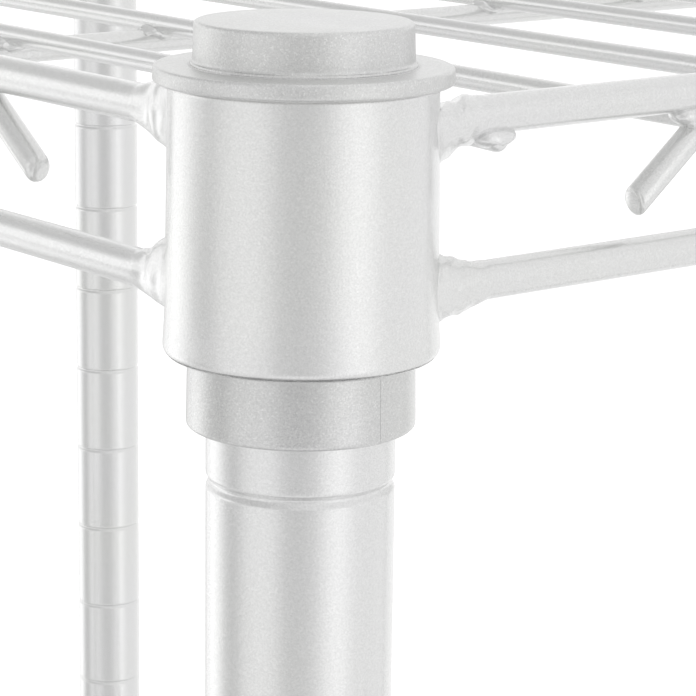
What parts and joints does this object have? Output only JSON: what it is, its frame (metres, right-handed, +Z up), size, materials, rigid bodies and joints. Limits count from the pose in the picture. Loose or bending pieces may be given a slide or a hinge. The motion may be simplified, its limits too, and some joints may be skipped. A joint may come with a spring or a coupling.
{
  "type": "wire shelving rack",
  "caption": "Free-standing light-duty wire shelving rack: welded wire shelves with tapered corner collars clamped on grooved round posts, with flanged post caps and levelling feet.",
  "frame": {"origin": "on the floor, midway between the four posts", "axes": "+Z up along the posts, +X along the long side of the shelves, front faces -Y"},
  "size_m": [0.5196, 0.3346, 0.7443],
  "materials": {
    "post_paint": "satin silver-white paint with a fine metallic grain",
    "wire_paint": "satin silver-white paint with a fine metallic grain",
    "collar_paint": "satin silver-white paint with a fine metallic grain",
    "sleeve_plastic": "grainy silver-grey moulded plastic",
    "cap_plastic": "grainy silver-grey moulded plastic",
    "socket_plastic": "matte grey moulded plastic",
    "foot_plastic": "matte grey moulded plastic"
  },
  "bodies": {
    "posts": {"post_front_right": "post_paint", "post_front_left": "post_paint", "post_back_right": "post_paint", "post_back_left": "post_paint", "sleeve_bottom_front_right_front": "sleeve_plastic", "sleeve_bottom_front_right_back": "sleeve_plastic", "sleeve_bottom_front_left_front": "sleeve_plastic", "sleeve_bottom_front_left_back": "sleeve_plastic", "sleeve_bottom_back_right_front": "sleeve_plastic", "sleeve_bottom_back_right_back": "sleeve_plastic", "sleeve_bottom_back_left_front": "sleeve_plastic", "sleeve_bottom_back_left_back": "sleeve_plastic", "sleeve_middle_front_right_front": "sleeve_plastic", "sleeve_middle_front_right_back": "sleeve_plastic", "sleeve_middle_front_left_front": "sleeve_plastic", "sleeve_middle_front_left_back": "sleeve_plastic", "sleeve_middle_back_right_front": "sleeve_plastic", "sleeve_middle_back_right_back": "sleeve_plastic", "sleeve_middle_back_left_front": "sleeve_plastic", "sleeve_middle_back_left_back": "sleeve_plastic", "sleeve_top_front_right_front": "sleeve_plastic", "sleeve_top_front_right_back": "sleeve_plastic", "sleeve_top_front_left_front": "sleeve_plastic", "sleeve_top_front_left_back": "sleeve_plastic", "sleeve_top_back_right_front": "sleeve_plastic", "sleeve_top_back_right_back": "sleeve_plastic", "sleeve_top_back_left_front": "sleeve_plastic", "sleeve_top_back_left_back": "sleeve_plastic", "foot_socket_front_right": "socket_plastic", "foot_socket_front_left": "socket_plastic", "foot_socket_back_right": "socket_plastic", "foot_socket_back_left": "socket_plastic"},
    "shelf_bottom": {"shelf_wires_bottom": "wire_paint", "collar_bottom_front_right": "collar_paint", "collar_bottom_front_left": "collar_paint", "collar_bottom_back_right": "collar_paint", "collar_bottom_back_left": "collar_paint"},
    "shelf_middle": {"shelf_wires_middle": "wire_paint", "collar_middle_front_right": "collar_paint", "collar_middle_front_left": "collar_paint", "collar_middle_back_right": "collar_paint", "collar_middle_back_left": "collar_paint"},
    "shelf_top": {"shelf_wires_top": "wire_paint", "collar_top_front_right": "collar_paint", "collar_top_front_left": "collar_paint", "collar_top_back_right": "collar_paint", "collar_top_back_left": "collar_paint"},
    "cap_front_right": {"cap_front_right": "cap_plastic"},
    "cap_front_left": {"cap_front_left": "cap_plastic"},
    "cap_back_right": {"cap_back_right": "cap_plastic"},
    "cap_back_left": {"cap_back_left": "cap_plastic"},
    "foot_front_right": {"foot_front_right": "foot_plastic"},
    "foot_front_left": {"foot_front_left": "foot_plastic"},
    "foot_back_right": {"foot_back_right": "foot_plastic"},
    "foot_back_left": {"foot_back_left": "foot_plastic"}
  },
  "joints": [
    {"name": "shelf_bottom_lift", "type": "slide", "parent": "posts", "child": "shelf_bottom", "axis": [0, 0, 1], "range_m": [0, 0.27]},
    {"name": "shelf_middle_lift", "type": "slide", "parent": "posts", "child": "shelf_middle", "axis": [0, 0, 1], "range_m": [0, 0.27]},
    {"name": "shelf_top_lift", "type": "slide", "parent": "posts", "child": "shelf_top", "axis": [0, 0, 1], "range_m": [0, 0.06]},
    {"name": "cap_front_right_pull", "type": "slide", "parent": "shelf_top", "child": "cap_front_right", "axis": [0, 0, 1], "range_m": [0, 0.02]},
    {"name": "cap_front_left_pull", "type": "slide", "parent": "shelf_top", "child": "cap_front_left", "axis": [0, 0, 1], "range_m": [0, 0.02]},
    {"name": "cap_back_right_pull", "type": "slide", "parent": "shelf_top", "child": "cap_back_right", "axis": [0, 0, 1], "range_m": [0, 0.02]},
    {"name": "cap_back_left_pull", "type": "slide", "parent": "shelf_top", "child": "cap_back_left", "axis": [0, 0, 1], "range_m": [0, 0.02]},
    {"name": "foot_front_right_screw", "type": "slide", "parent": "posts", "child": "foot_front_right", "axis": [0, 0, -1], "range_m": [0, 0.012]},
    {"name": "foot_front_left_screw", "type": "slide", "parent": "posts", "child": "foot_front_left", "axis": [0, 0, -1], "range_m": [0, 0.012]},
    {"name": "foot_back_right_screw", "type": "slide", "parent": "posts", "child": "foot_back_right", "axis": [0, 0, -1], "range_m": [0, 0.012]},
    {"name": "foot_back_left_screw", "type": "slide", "parent": "posts", "child": "foot_back_left", "axis": [0, 0, -1], "range_m": [0, 0.012]}
  ]
}
